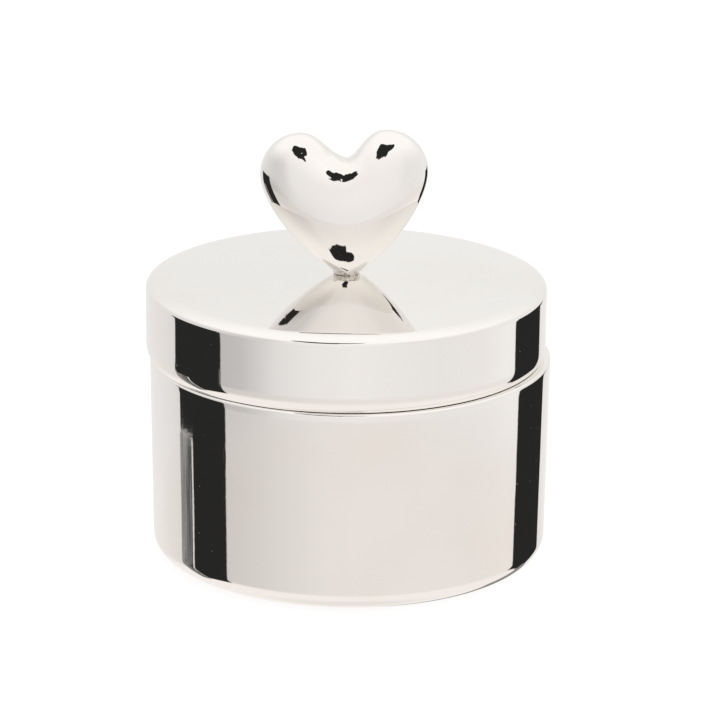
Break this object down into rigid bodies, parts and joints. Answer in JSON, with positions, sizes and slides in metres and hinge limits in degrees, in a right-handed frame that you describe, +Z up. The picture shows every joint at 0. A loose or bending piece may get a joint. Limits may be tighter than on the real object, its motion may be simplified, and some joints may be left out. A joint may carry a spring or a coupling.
{
  "type": "trinket box",
  "caption": "Round silver-plated trinket box: low drawn cup with a velvet-lined inside, and a lift-off domed lid with a puffy heart-shaped knob.",
  "frame": {"origin": "middle of the underside, on the surface that the box stands on", "axes": "+Z up along the axis that the box is turned about, -Y towards the front, which the heart faces, +X to the right seen from the front"},
  "size_m": [0.0648, 0.0642, 0.0692],
  "materials": {
    "silver_plate": "polished",
    "collar_silver": "satin",
    "steel": "satin",
    "velvet": "matte",
    "felt": "matte",
    "card": "matte"
  },
  "bodies": {
    "base": {"body_shell": "silver_plate", "base_felt": "felt", "floor_board": "card", "floor_pad": "velvet", "wall_lining": "velvet"},
    "neck": {"neck_ring": "silver_plate"},
    "lid": {"lid_shell": "silver_plate", "lid_board": "card", "lid_pad": "velvet", "knob_washer": "steel", "knob_collar": "collar_silver", "knob_screw": "steel", "heart_knob": "silver_plate"}
  },
  "joints": [
    {"name": "lid_turn", "type": "hinge", "parent": "base", "child": "neck", "pos_m": [0, 0, 0.03288], "axis": [0, 0, 1], "continuous": true},
    {"name": "lid_lift", "type": "slide", "parent": "neck", "child": "lid", "axis": [0, 0, 1], "range_m": [0, 0.06]}
  ]
}
